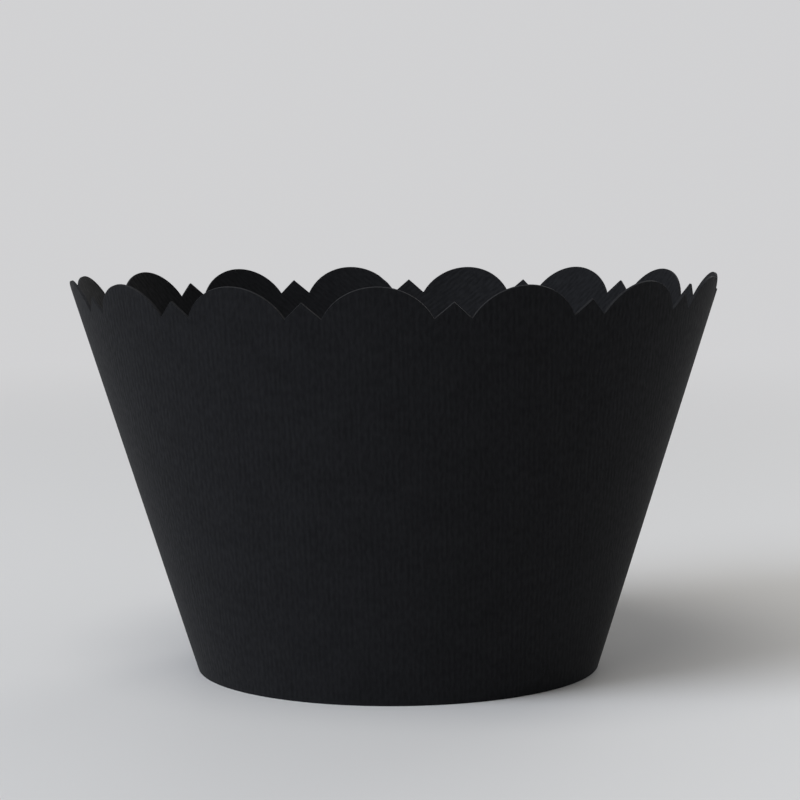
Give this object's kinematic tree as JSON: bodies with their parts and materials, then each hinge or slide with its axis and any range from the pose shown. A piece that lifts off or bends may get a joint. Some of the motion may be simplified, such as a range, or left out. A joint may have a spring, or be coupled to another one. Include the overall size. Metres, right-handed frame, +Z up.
{
  "type": "cupcake wrapper",
  "caption": "Cone-shaped card sleeve with a scalloped top edge that slips round a baked cupcake, rolled from one strip and closed at the back by a tab in a slit.",
  "frame": {"origin": "centre of the base opening, in the plane the lower edge stands on", "axes": "+Z up the cone's axis, -Y the front, +X the right side seen from the front; the lap and tab are at the back, +Y"},
  "size_m": [0.0822, 0.0823, 0.05],
  "materials": {
    "black_card": "matte, dyed right through, with a faint laid grain up the wall"
  },
  "bodies": {
    "root": {"card_sleeve": "black_card"}
  },
  "joints": []
}
